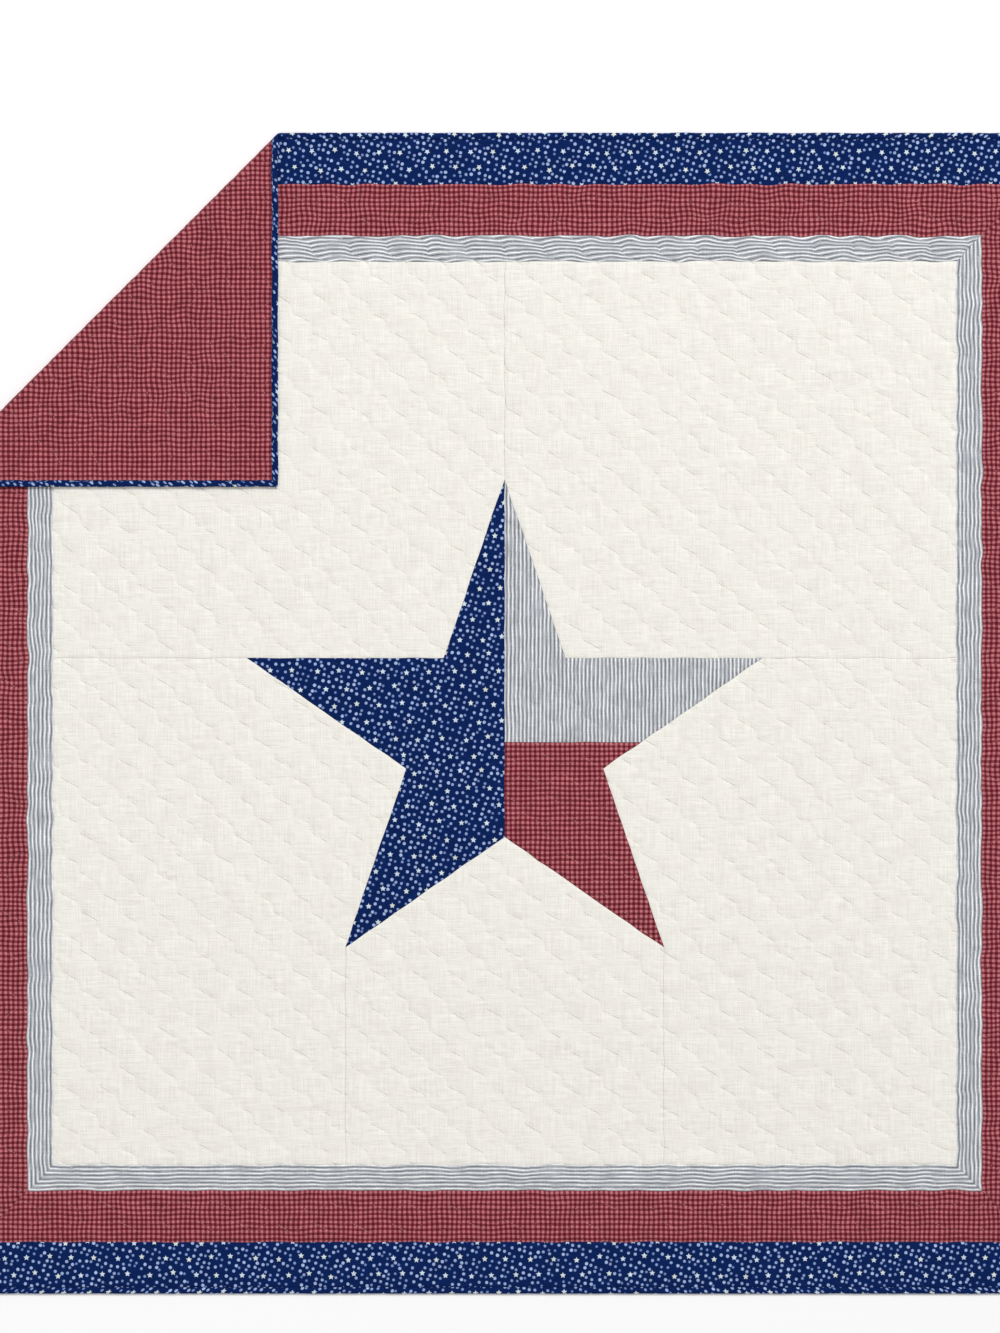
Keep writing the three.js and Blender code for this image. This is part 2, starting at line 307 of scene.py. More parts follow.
@dataclass(frozen=True)
class CreamMuslin(Cotton):
    """Unbleached muslin: an off-white plain weave with slubs and a faint crossed thread."""

    slot: Fabric = Fabric.CREAM
    thread: float = 1.8 * MM
    thread_run: float = 70 * MM
    thread_shade: float = 0.08
    wash: float = 0.015
    # The muslin's quilting lines are painted shade of the stitched ditch with the thread: darker
    # than the cloth, nearly unbroken, and strongest along the lines of whole beta steps, which the
    # light from the top shades most.
    line_thread_and_shade_hex: str = "aba292"
    stitch_shares: tuple[float, float] = (0.06, 0.65)
    stitch_gap: float = 0.1
    ground_hex: str = "edebe3"
    blush_hex: str = "ece8e1"
    blush_size: float = 40 * MM
    blush_edge: tuple[float, float] = (0.45, 0.7)
    slub_hex: str = "c8c5b4"
    slub_size: tuple[float, float] = (28 * MM, 2.2 * MM)
    slub_share: float = 0.25
    weft_slubs: tuple[float, float] = (0.6, 0.76)
    warp_slubs: tuple[float, float] = (0.66, 0.8)

    def colour(self, bench: PatternBench, u: Socket, v: Socket) -> Socket:
        """Draws the off-white with sparse darker slubs both ways of the weave.

        Args:
            bench: The node tree to draw in.
            u: Place along the cloth's grain, in metres.
            v: Place across the grain.

        Returns:
            The muslin's colour.
        """
        weft = bench.step(bench.noise(u, v, *self.slub_size, 1.0), *self.weft_slubs)
        warp = bench.step(bench.noise(v, u, *self.slub_size, 1.0), *self.warp_slubs)
        share = bench.sum("MULTIPLY", bench.sum("MAXIMUM", weft, warp), self.slub_share)
        blush = bench.step(bench.noise(u, v, self.blush_size, self.blush_size), *self.blush_edge)
        ground = bench.mix(blush, linear(self.ground_hex), linear(self.blush_hex))
        return bench.mix(share, ground, linear(self.slub_hex))


@dataclass(frozen=True)
class RedGingham(Cotton):
    """Dyed-in-the-yarn gingham: red and pale bands both ways make three tones of check."""

    slot: Fabric = Fabric.GINGHAM
    thread: float = 1.8 * MM
    thread_run: float = 30 * MM
    thread_shade: float = 0.16
    line_thread_and_shade_hex: str = "d8a9a6"
    stitch_shares: tuple[float, float] = (0.25, 0.45)
    check: float = 9.7 * MM
    band_edge: float = 1.3
    yarn_size: tuple[float, float] = (7 * MM, 70 * MM)
    yarn_spread: float = 0.75
    dark_hex: str = "58131e"
    middle_hex: str = "853640"
    pale_hex: str = "ba7278"

    def colour(self, bench: PatternBench, u: Socket, v: Socket) -> Socket:
        """Draws the bands both ways, each yarn with a depth of dye of its own.

        Args:
            bench: The node tree to draw in.
            u: Place along the cloth's grain, in metres.
            v: Place across the grain.

        Returns:
            The dark, middle and pale tone of the crossing bands.
        """
        turns = math.tau / self.check
        bands = []
        for across, along in ((u, v), (v, u)):
            uneven = bench.noise(across, along, *self.yarn_size)
            level = bench.sum("MULTIPLY_ADD", uneven, 2 * self.yarn_spread, 0.5 - self.yarn_spread)
            wave = bench.sum("SINE", bench.sum("MULTIPLY", across, turns))
            bands.append(bench.sum("MULTIPLY_ADD", wave, self.band_edge, level, clamp=True))
        dyed = bench.sum("MULTIPLY", bench.sum("ADD", *bands), 0.5)
        pale, middle = linear(self.pale_hex), linear(self.middle_hex)
        lower = bench.mix(bench.step(dyed, 0.0, 0.5), pale, middle)
        return bench.mix(bench.step(dyed, 0.5, 1.0), lower, linear(self.dark_hex))


@dataclass(frozen=True)
class TickingStripe(Cotton):
    """Ticking: a grey-blue woven stripe on a pale ground, with a white line in each repeat."""

    slot: Fabric = Fabric.TICKING
    thread: float = 1.6 * MM
    thread_run: float = 40 * MM
    thread_shade: float = 0.12
    repeat: float = 7.8 * MM
    waver: float = 0.8 * MM
    waver_size: tuple[float, float] = (22 * MM, 60 * MM)
    fade_hex: str = "a9adb3"
    fade_size: tuple[float, float] = (60 * MM, 7 * MM)
    fade_edge: tuple[float, float] = (0.45, 0.75)
    fade_share: float = 0.75
    bands: tuple[tuple[float, str], ...] = (
        (0.00, "fafafc"),
        (0.14, "fafafc"),
        (0.20, "b1b4b8"),
        (0.44, "a3a7ad"),
        (0.49, "464c59"),
        (0.58, "484e5b"),
        (0.64, "a3a6ac"),
        (0.90, "b4b6ba"),
        (1.00, "fafafc"),
    )

    def colour(self, bench: PatternBench, u: Socket, v: Socket) -> Socket:
        """Draws the stripes, which run along u, waver a little and fade here and there.

        Args:
            bench: The node tree to draw in.
            u: Place along the stripes, in metres.
            v: Place across the stripes.

        Returns:
            The ticking's colour.
        """
        waver = bench.noise(u, v, *self.waver_size, 1.0)
        v = bench.sum("MULTIPLY_ADD", waver, 2 * self.waver, v)
        place = bench.sum("FRACT", bench.sum("DIVIDE", v, self.repeat))
        ramp = add_node(bench.tree, "ValToRGB", {0: place})
        stops = ramp.color_ramp.elements
        while len(stops) < len(self.bands):
            stops.new(1.0)
        for stop, (position, hex_colour) in zip(stops, self.bands):
            stop.position = position
            stop.color = linear(hex_colour)
        faded = bench.step(bench.noise(u, v, *self.fade_size), *self.fade_edge)
        share = bench.sum("MULTIPLY", faded, self.fade_share)
        return bench.mix(share, ramp.outputs[0], linear(self.fade_hex))


@dataclass(frozen=True)
class Sprinkle:
    """Printed motifs in staggered rows, each of them strayed from the middle of its own cell."""

    column: float
    row: float
    stagger: float
    stray: float

    def motif(self, bench: PatternBench, u: Socket, v: Socket) -> tuple[Socket, Socket, Socket]:
        """Finds the motif in whose cell each point of the cloth lies.

        Args:
            bench: The node tree to draw in.
            u: Place along the rows, in metres.
            v: Place across the rows, in metres.

        Returns:
            How far the point is from the motif's middle along u and v, and a random draw
            from 0 to 1 that belongs to the motif.
        """
        risen = bench.sum("DIVIDE", v, self.row)
        row = bench.sum("FLOOR", risen)
        shift = bench.sum("FRACT", bench.sum("MULTIPLY", row, self.stagger))
        gone = bench.sum("ADD", bench.sum("DIVIDE", u, self.column), shift)
        cell = bench.vector(bench.sum("FLOOR", gone), row)
        noise = add_node(bench.tree, "TexWhiteNoise", {"Vector": cell}, noise_dimensions="2D")
        draws = add_node(bench.tree, "SeparateColor", {0: noise.outputs["Color"]}).outputs
        offsets = []
        for place, size, draw in ((gone, self.column, draws[0]), (risen, self.row, draws[1])):
            middle = bench.sum("SUBTRACT", bench.sum("FRACT", place), 0.5)
            moved = bench.sum("MULTIPLY_ADD", draw, self.stray, -self.stray / 2)
            offsets.append(bench.sum("MULTIPLY_ADD", middle, size, moved))
        return (*offsets, draws[2])


@dataclass(frozen=True)
class NavyStarPrint(Cotton):
    """Printed cotton: a navy ground with small pale dots and rows of small five-point stars."""

    slot: Fabric = Fabric.NAVY
    thread: float = 2.0 * MM
    thread_shade: float = 0.12
    sheen: float = 0.0
    line_thread_and_shade_hex: str = "5f739c"
    stitch_shares: tuple[float, float] = (0.06, 0.12)
    ground_hex: str = "031e54"
    small_dot_hex: str = "667fb6"
    large_dot_hex: str = "a6bae0"
    star_hexes: tuple[str, str] = ("c6d7ea", "d2dcd8")
    dot_spacing: float = 12.1 * MM
    dot_stray: float = 0.55
    dot_turn: float = math.radians(21)
    dot_radii: tuple[float, float] = (2.4 * MM, 3.2 * MM)
    dot_edge: float = 0.5 * MM
    stars: Sprinkle = Sprinkle(45 * MM, 33 * MM, 0.382, 9.0 * MM)
    star_radius: float = 5.8 * MM
    star_notch: float = 0.5
    star_edge: float = 0.3 * MM
    star_clear: float = 9.2 * MM

    def turned(self, bench: PatternBench, vector: Socket, angle: float) -> Socket:
        """Returns a flat vector turned by an angle."""
        inputs = {"Vector": vector, "Angle": angle}
        return add_node(bench.tree, "VectorRotate", inputs, rotation_type="Z_AXIS").outputs[0]

    def dotted(self, bench: PatternBench, u: Socket, v: Socket) -> Socket:
        """Draws the ground with its dots, which differ in size and brightness.

        Args:
            bench: The node tree to draw in.
            u: Place along the cloth's grain, in metres.
            v: Place across the grain.

        Returns:
            The colour of the ground and the dots.
        """
        place = self.turned(bench, bench.vector(u, v), self.dot_turn)
        inputs = {"Vector": place, "Scale": 1 / self.dot_spacing, "Randomness": self.dot_stray}
        cells = add_node(bench.tree, "TexVoronoi", inputs, voronoi_dimensions="2D")
        draw = add_node(bench.tree, "SeparateColor", {0: cells.outputs["Color"]}).outputs[0]
        small, large = self.dot_radii
        radius = bench.sum("MULTIPLY_ADD", draw, large - small, small)
        depth = bench.sum("MULTIPLY_ADD", cells.outputs["Distance"], -self.dot_spacing, radius)
        inside = bench.step(depth, -self.dot_edge, self.dot_edge)
        # A dot whose middle is too near a star is left out whole.
        middle = self.turned(bench, cells.outputs["Position"], -self.dot_turn)
        star_x, star_y, _ = self.stars.motif(bench, *bench.split(middle))
        clear = bench.sum("GREATER_THAN", bench.length(star_x, star_y), self.star_clear)
        dot = bench.mix(draw, linear(self.small_dot_hex), linear(self.large_dot_hex))
        return bench.mix(bench.sum("MULTIPLY", inside, clear), linear(self.ground_hex), dot)

    def colour(self, bench: PatternBench, u: Socket, v: Socket) -> Socket:
        """Draws the dotted ground with its stars.

        Args:
            bench: The node tree to draw in.
            u: Place along the cloth's grain, in metres.
            v: Place across the grain.

        Returns:
            The print's colour.
        """
        x, y, draw = self.stars.motif(bench, u, v)
        arm = math.pi / 5
        angle = bench.sum("ADD", bench.sum("ARCTAN2", x, y), math.tau)
        from_tip = bench.sum("PINGPONG", angle, arm)
        # A star's edge runs straight from its tip to its notch.
        notch = (self.star_notch * math.cos(arm), self.star_notch * math.sin(arm))
        slope = math.atan2(notch[1], 1 - notch[0])
        edge = math.sin(slope) * self.star_radius
        lean = bench.sum("SINE", bench.sum("ADD", from_tip, slope))
        side = bench.sum("MULTIPLY", bench.length(x, y), lean)
        inside = bench.step(bench.sum("SUBTRACT", edge, side), -self.star_edge, self.star_edge)
        star = bench.mix(draw, *(linear(tint) for tint in self.star_hexes))
        return bench.mix(inside, self.dotted(bench, u, v), star)


@dataclass(frozen=True)
class Fold:
    """The soft roll at the folded corner, and how the flap settles behind it.

    start is where the cloth leaves the floor, measured from the middle towards the corner,
    and middle is the height of the layer that keeps its length.
    """

    start: float
    radius: float = 7 * MM
    middle: float = 3.2 * MM
    settled: float = 10.2 * MM
    settles_over: float = 130 * MM
    ridge_run: float = 104 * MM
    ridge_rise: float = 5.0 * MM
    ridge_width: float = 7 * MM

    @property
    def round_run(self) -> float:
        """Length of cloth in the half turn."""
        return math.pi * self.radius

    def run(self, plan: np.ndarray) -> np.ndarray:
        """Returns each flat point's distance past the start of the fold."""
        return plan @ ACROSS - self.start

    def carry(self, plan: np.ndarray, height: np.ndarray) -> np.ndarray:
        """Carries points of the flat cloth to their places on the folded quilt.

        Args:
            plan: Flat places, one row of u and v for each point.
            height: Heights above the backing's outer face.

        Returns:
            One row of x, y and z for each point.
        """
        run = self.run(plan)
        turn = np.clip(run / self.radius, 0.0, math.pi)
        beyond = np.maximum(run - self.round_run, 0.0)
        out_across, out_up = np.sin(turn), -np.cos(turn)
        eased = (1 - np.cos(np.pi * np.clip(beyond / self.settles_over, 0, 1))) / 2
        top = self.middle + 2 * self.radius
        ridge = self.ridge_rise * np.exp(-(((run - self.ridge_run) / self.ridge_width) ** 2))
        level = self.middle + self.radius * (1 + out_up)
        level = level - eased * (top - self.settled) + np.where(run > self.round_run, ridge, 0)
        reach = np.where(run < 0, run, self.radius * out_across - beyond)
        spare = self.middle - height
        towards = self.start + reach + spare * out_across
        flat = towards[:, None] * ACROSS + (plan @ ALONG)[:, None] * ALONG
        return np.column_stack((flat, level + spare * out_up))


@dataclass
class Ripples:
    """A smooth, patchy field made of a few waves, the same on every run.

    lengths are the shortest and the longest wave. usual_peak brings the sum of the waves to
    about 1 at its heights.
    """

    seed: int
    lengths: tuple[float, float]
    upright: float
    waves: int = 14
    usual_peak: float = 1.6
    table: np.ndarray = field(init=False)

    def __post_init__(self) -> None:
        """Draws the waves: upright above 1 makes the ripples lie along u."""
        draw = np.random.default_rng(self.seed)
        length = draw.uniform(*self.lengths, self.waves)
        angle = draw.uniform(0, 2 * np.pi, self.waves)
        steps = np.column_stack((np.cos(angle) / self.upright, np.sin(angle)))
        steps *= (2 * np.pi / length / np.linalg.norm(steps, axis=1))[:, None]
        self.table = np.column_stack((steps, draw.uniform(0, 2 * np.pi, self.waves)))

    def at(self, plan: np.ndarray) -> np.ndarray:
        """Adds up the waves.

        Args:
            plan: Flat places, one row of u and v for each point.

        Returns:
            The field at each point, mostly between -1 and 1.
        """
        total = np.zeros(len(plan))
        for u_step, v_step, phase in self.table:
            total += np.sin(plan[:, 0] * u_step + plan[:, 1] * v_step + phase)
        return total * math.sqrt(2 / self.waves) / self.usual_peak


@dataclass
class Quilting:
    """Two crossing sets of wavy stitched lines, and the loft of the squares between them.

    The cloth is pulled most beside the long seams of the borders, and most of all near the
    top. pull_shares are the least pull, what the borders add, what the top adds to that and
    what the binding takes away at the outer edge.
    """

    grid: float = 3 * INCH
    wave: float = 4.2 * MM
    cross_wave: float = 1.8 * MM
    second_wave: float = 0.3
    wander: float = 2.0 * MM
    deep: float = 0.88
    shallow: float = 0.2
    round_off: float = 0.3
    pull: float = 1.5 * MM
    pull_shares: tuple[float, float, float, float] = (0.35, 0.75, 0.3, 0.75)
    calm_reach: float = 0.95
    held_band: float = 0.18
    crinkle: float = 0.48 * MM
    crinkle_mean: float = 0.6
    crinkle_spread: float = 0.5
    crinkle_limits: tuple[float, float] = (0.1, 1.2)
    gathering: float = 0.9
    wandering: Ripples = field(default_factory=lambda: Ripples(3, (180 * MM, 400 * MM), 1.0))
    pull_u: Ripples = field(default_factory=lambda: Ripples(5, (45 * MM, 120 * MM), 1.0))
    pull_v: Ripples = field(default_factory=lambda: Ripples(8, (45 * MM, 120 * MM), 1.0))
    fine: Ripples = field(default_factory=lambda: Ripples(13, (12 * MM, 24 * MM), 2.2))
    patches: Ripples = field(default_factory=lambda: Ripples(21, (60 * MM, 160 * MM), 1.0))
    fullness: Ripples = field(default_factory=lambda: Ripples(34, (90 * MM, 240 * MM), 1.0))

    @property
    def square(self) -> float:
        """Side of a quilted square."""
        return self.grid / math.sqrt(2.0)

    def lean(self, steps: np.ndarray) -> np.ndarray:
        """Returns the swing of a wavy line after so many steps along it."""
        return np.sin(2 * np.pi * steps) + self.second_wave * np.sin(4 * np.pi * steps)

    def sewn_place(self, alpha: np.ndarray, beta: np.ndarray) -> np.ndarray:
        """Finds where a crossing of the stitched lattice lies on the flat cloth.

        Args:
            alpha: Steps across the crease, in quilted squares.
            beta: Steps along the crease, in quilted squares.

        Returns:
            One row of u and v for each crossing.
        """
        regular = self.square * (alpha[:, None] * ACROSS + beta[:, None] * ALONG)
        stray = self.wander * self.wandering.at(regular)
        across = self.cross_wave * self.lean(beta) + stray
        along = self.wave * self.lean(alpha) + stray
        return regular + across[:, None] * ACROSS + along[:, None] * ALONG

    def loft(self, alpha: np.ndarray, beta: np.ndarray) -> np.ndarray:
        """Works out how full the cloth is.

        Args:
            alpha: Steps across the crease, in quilted squares.
            beta: Steps along the crease, in quilted squares.

        Returns:
            The fullness of each point, from about 0 at a stitched crossing to 1.
        """
        faint = np.abs(np.sin(np.pi * alpha)) ** self.round_off
        strong = np.abs(np.sin(np.pi * beta)) ** self.round_off
        return (1 - self.shallow * (1 - faint)) * (1 - self.deep * (1 - strong))

    def pulled(self, plan: np.ndarray) -> np.ndarray:
        """Puckers the cloth as the quilting does.

        Args:
            plan: Flat places, one row of u and v for each point.

        Returns:
            The places after the pull.
        """
        least, border, top, edge = self.pull_shares
        moved = np.column_stack((self.pull_u.at(plan), self.pull_v.at(plan)))
        reach = np.abs(plan).max(axis=1)
        outer = np.clip(reach / self.calm_reach, 0, 1) ** 3
        share = least + outer * (border + top * plan[:, 1])
        held = np.clip((reach - self.calm_reach) / self.held_band, 0, 1)
        return plan + self.pull * (share * (1 - edge * held))[:, None] * moved

    def gathers(self, beta: np.ndarray) -> np.ndarray:
        """Returns how much taller the crinkles are beside the strong quilting lines."""
        return 1 + self.gathering * (1 - np.abs(np.sin(np.pi * beta))) ** 2

    def creases(self, plan: np.ndarray) -> np.ndarray:
        """Returns the height of the small washed-in crinkles."""
        patchy = self.crinkle_mean + self.crinkle_spread * self.patches.at(plan)
        return self.crinkle * np.clip(patchy, *self.crinkle_limits) * self.fine.at(plan)


@dataclass(frozen=True)
class PatchPlan:
    """One cut piece: its name, cloth, convex parts and the way that its threads run."""

    name: str
    fabric: Fabric
    parts: tuple[Outline, ...]
    grain: float = 0.0


def sides(part: Outline) -> list[Seam]:
    """Returns the sides of an outline, each from one corner to the next."""
    return list(zip(part, part[1:] + part[:1]))


def part_area(part: Outline) -> float:
    """Returns the area of a counter-clockwise outline."""
    return sum(p[0] * q[1] - q[0] * p[1] for p, q in sides(part)) / 2


@dataclass
class QuiltPlan:
    """The quilt's pattern: all its pieces as flat outlines, in metres."""

    half: float = 45 * INCH
    navy: float = 4 * INCH
    red: float = 4 * INCH
    ticking: float = 2 * INCH
    binding: float = 0.5 * INCH
    seam_gap: float = 0.3 * MM
    fold_leg: float = 27.5 * INCH
    star_radius: float = 21 * INCH
    star_flatten: float = 0.955
    star_middle: float = -49 * MM
    cross_seam: float = -57 * MM
    longest_part: float = 560 * MM

    @property
    def crease(self) -> float:
        """Distance from the middle to the folded edge."""
        return (2 * self.half - self.fold_leg) / math.sqrt(2.0)

    @property
    def field_half(self) -> float:
        """Half the width of the cream field."""
        return self.half - self.navy - self.red - self.ticking

    @property
    def whole_edge(self) -> float:
        """Length of the quilt's outer edge, all round."""
        return 8 * self.half

    def star_corner(self, degrees: float, share: float = 1.0) -> Corner:
        """Places a corner of the large star.

        Args:
            degrees: The corner's direction, counter-clockwise from the right.
            share: Its distance as a share of the star's radius, which is 1 at a tip.

        Returns:
            The corner's flat place.
        """
        angle, radius = math.radians(degrees), self.star_radius * share
        across, up = radius * math.cos(angle), radius * math.sin(angle)
        return across, self.star_middle + self.star_flatten * up

    def star(self) -> dict[str, Corner]:
        """Places the star's corners, the meeting of its seams and the cross seam's end.

        Returns:
            The places by name. A name that starts with n_ is a notch.
        """
        notch_share = (3 - math.sqrt(5)) / 2
        tips = {"top": 90, "left": 162, "low_left": 234, "low_right": 306, "right": 18}
        notches = {"n_up_left": 126, "n_left": 198, "n_low": 270, "n_right": 342, "n_up_right": 54}
        corners = {name: self.star_corner(angle) for name, angle in tips.items()}
        for name, angle in notches.items():
            corners[name] = self.star_corner(angle, notch_share)
        tip, notch = Vector(corners["right"]), Vector(corners["n_right"])
        share = (self.cross_seam - tip.y) / (notch.y - tip.y)
        corners["seam_end"] = tuple(tip.lerp(notch, share))
        corners["heart"] = (0.0, self.cross_seam)
        return corners

    def star_pieces(self) -> list[PatchPlan]:
        """Cuts the star.

        Returns:
            Its three pieces, each in convex parts.
        """
        s = self.star()
        rows = (
            ("star_left_navy", Fabric.NAVY, 0.0, (
                ("top", "n_up_left", "heart"),
                ("n_up_left", "left", "n_left", "heart"),
                ("n_left", "low_left", "n_low", "heart"),
            )),
            ("star_upper_right_ticking", Fabric.TICKING, QUARTER_TURN, (
                ("heart", "seam_end", "right", "n_up_right"),
                ("heart", "n_up_right", "top"),
            )),
            ("star_lower_right_gingham", Fabric.GINGHAM, 0.0, (
                ("heart", "n_low", "low_right", "n_right"),
                ("heart", "n_right", "seam_end"),
            )),
        )
        return [
            PatchPlan(name, fabric, tuple([s[c] for c in part] for part in parts), grain)
            for name, fabric, grain, parts in rows
        ]

    @staticmethod
    def mirrored(parts: list[Outline]) -> list[Outline]:
        """Returns outlines mirrored left to right."""
        return [[(-u, v) for u, v in reversed(part)] for part in parts]

    def field_pieces(self) -> list[PatchPlan]:
        """Cuts the cream field along the seams from the star's tips.

        Returns:
            Its five pieces.
        """
        s, e = self.star(), self.field_half
        side, low = s["left"][1], s["low_left"][1]
        foot, far_foot = (s["low_left"][0], -e), (s["low_right"][0], -e)
        upper = [[(0.0, e), (-e, e), (-e, side), s["left"], s["n_up_left"], s["top"]]]
        lower = [
            [s["left"], (-e, side), (-e, low), s["low_left"], s["n_left"]],
            [(-e, low), (-e, -e), foot, s["low_left"]],
        ]
        rows = (
            ("field_upper_left", upper),
            ("field_upper_right", self.mirrored(upper)),
            ("field_lower_left", lower),
            ("field_lower_right", self.mirrored(lower)),
            ("field_bottom_middle", [[foot, far_foot, s["low_right"], s["n_low"], s["low_left"]]]),
        )
        return [PatchPlan(name, Fabric.CREAM, tuple(parts)) for name, parts in rows]

    def strip(self, inner: float, outer: float, quarter_turns: int) -> list[Outline]:
        """Cuts a mitred strip between two squares.

        Args:
            inner: Half the width of the inner square.
            outer: Half the width of the outer square.
            quarter_turns: How far round from the right side the strip lies.

        Returns:
            The strip's outline, in lengths of a handy size.
        """
        pieces = max(1, math.ceil(2 * outer / self.longest_part))
        cuts = [-inner + 2 * inner * i / pieces for i in range(pieces + 1)]
        ends = [-outer, *cuts[1:-1], outer]
        turn = Matrix.Rotation(quarter_turns * QUARTER_TURN, 2)
        parts = []
        for i in range(pieces):
            part = [(inner, cuts[i]), (outer, ends[i]), (outer, ends[i + 1]), (inner, cuts[i + 1])]
            parts.append([tuple(turn @ Vector(corner)) for corner in part])
        return parts

    def border_pieces(self) -> list[PatchPlan]:
        """Cuts the three borders.

        Returns:
            Their twelve mitred strips.
        """
        rows = (
            ("ticking", Fabric.TICKING, self.ticking),
            ("gingham", Fabric.GINGHAM, self.red),
            ("navy", Fabric.NAVY, self.navy - self.binding),
        )
        inner, made = self.field_half, []
        for label, fabric, width in rows:
            for turns, side in enumerate(("right", "top", "left", "bottom")):
                parts = tuple(self.strip(inner, inner + width, turns))
                grain = (turns + 1) * QUARTER_TURN
                made.append(PatchPlan(f"border_{label}_{side}", fabric, parts, grain))
            inner += width
        return made

    def top_pieces(self) -> list[PatchPlan]:
        """Returns every piece of the quilt's face."""
        return [*self.field_pieces(), *self.star_pieces(), *self.border_pieces()]


@dataclass
class ClothCutter:
    """Cuts pieces from a mesh whose edges follow the quilting lines.

    cells is the number of mesh squares along one side of a quilted square, and rim_cuts are
    the extra rows of mesh beside each seam.
    """

    plan: QuiltPlan
    quilting: Quilting
    fold: Fold
    cells: int = 11
    turn_cuts: int = 12
    roll_margin: float = 5 * MM
    rim_cuts: tuple[float, ...] = (1.4 * MM, 4.0 * MM)
    rim_reach: float = 12 * MM
    merge: float = 0.02 * MM

    def lattice(self, part: Outline, cells: int) -> bmesh.types.BMesh:
        """Makes a grid that covers an outline, with its edges along the wavy quilting lines.

        Args:
            part: The outline to cover.
            cells: Mesh squares along one side of a quilted square.

        Returns:
            The grid, with each vertex's lattice steps in the layers alpha and beta.
        """
        places = np.array(part) / self.quilting.square
        steps = np.column_stack((places @ ALONG, places @ ACROSS))
        low, high = np.floor(steps.min(0)) - 1, np.ceil(steps.max(0)) + 1
        span, middle = high - low, (high + low) / 2
        bm = bmesh.new()
        spread = Matrix.Translation((*middle, 0)) @ Matrix.Diagonal((*span, 1, 1))
        bmesh.ops.create_grid(
            bm,
            x_segments=int(span[0]) * cells,
            y_segments=int(span[1]) * cells,
            size=0.5,
            matrix=spread,
        )
        alpha, beta = (bm.verts.layers.float.new(name) for name in STEP_LAYERS)
        grid = np.array([v.co.xy for v in bm.verts])
        sewn = self.quilting.sewn_place(grid[:, 1], grid[:, 0])
        for vert, (b, a), (u, v) in zip(bm.verts, grid.tolist(), sewn.tolist()):
            vert[alpha], vert[beta] = a, b
            vert.co = (u, v, 0.0)
        return bm

    def cut(
        self,
        bm: bmesh.types.BMesh,
        at: Iterable[float],
        out: Iterable[float],
        geom: list | None = None,
        clear: bool = False,
    ) -> list:
        """Cuts flat faces by an upright plane.

        Args:
            bm: The mesh.
            at: A point of the plane.
            out: The plane's flat normal.
            geom: What may be cut, which is everything if left out.
            clear: Whether what lies on the normal's side goes away.

        Returns:
            What was cut and what the cut made.
        """
        return bmesh.ops.bisect_plane(
            bm,
            geom=geom or [*bm.verts, *bm.edges, *bm.faces],
            dist=self.merge / 2,
            plane_co=(*at, 0.0),
            plane_no=(*out, 0.0),
            clear_outer=clear,
        )["geom"]

    @staticmethod
    def near(bm: bmesh.types.BMesh, chosen: Callable[[np.ndarray], np.ndarray]) -> list:
        """Collects faces by their places, for a cut that leaves the others alone.

        Args:
            bm: The mesh.
            chosen: Tells which of the faces' middles are chosen.

        Returns:
            The chosen faces with their edges and corners.
        """
        faces = bm.faces[:]
        middles = np.array([face.calc_center_median().xy for face in faces])
        picked = [faces[i] for i in np.flatnonzero(chosen(middles))]
        edges = {edge for face in picked for edge in face.edges}
        verts = {vert for face in picked for vert in face.verts}
        return [*verts, *edges, *picked]

    def trim(self, bm: bmesh.types.BMesh, part: Outline, rims: set[Seam]) -> None:
        """Trims a grid to a convex outline, less half the seam's gap along its seams.

        Args:
            bm: The grid.
            part: The outline.
            rims: The sides that lie on a seam.
        """
        for p, q in sides(part):
            along = (Vector(q) - Vector(p)).normalized()
            out = Vector((along.y, -along.x))
            gap = self.plan.seam_gap / 2 if (p, q) in rims else 0.0
            self.cut(bm, Vector(p) - gap * out, out, clear=True)

    def roll_cuts(self) -> list[float]:
        """Returns how far from the middle the rows of mesh across the fold's roll lie."""
        run, cuts = self.fold.round_run, self.turn_cuts
        return [self.fold.start + run * i / cuts for i in range(cuts + 1)]

    def rolled(self, places: np.ndarray) -> np.ndarray:
        """Tells which flat places lie in the roll of the fold or close beside it."""
        run, margin = self.fold.run(places), self.roll_margin
        return (run > -margin) & (run < self.fold.round_run + margin)

    @staticmethod
    def measure(seam: Seam) -> tuple[np.ndarray, np.ndarray, np.ndarray, float]:
        """Measures a seam.

        Args:
            seam: The seam, with the cloth on its left.

        Returns:
            Its start, the unit steps along it and out of the cloth, and its length.
        """
        start, span = np.array(seam[0]), np.array(seam[1]) - np.array(seam[0])
        length = np.linalg.norm(span)
        along = span / length
        return start, along, np.array((along[1], -along[0])), length

    def beside(self, seam: Seam, places: np.ndarray) -> np.ndarray:
        """Tells which flat places lie close beside a seam, on its inner side.

        Args:
            seam: The seam, with the cloth on its left.
            places: One row of u and v for each place.

        Returns:
            True or false for each place.
        """
        start, along, out, length = self.measure(seam)
        way, depth = (places - start) @ along, (start - places) @ out
        return (depth < self.rim_reach) & (way > -self.merge) & (way < length)

    def refine(self, bm: bmesh.types.BMesh, rims: set[Seam]) -> None:
        """Adds rows of mesh beside each seam and across the roll of the fold.

        Args:
            bm: The flat sheet.
            rims: The seams round it.
        """
        for seam in sorted(rims):
            start, _, out, _ = self.measure(seam)
            geom = self.near(bm, partial(self.beside, seam))
            for depth in self.rim_cuts:
                geom = self.cut(bm, start - depth * out, out, geom)
        geom = self.near(bm, self.rolled)
        for offset in self.roll_cuts() if geom else ():
            geom = self.cut(bm, offset * ACROSS, ACROSS, geom)

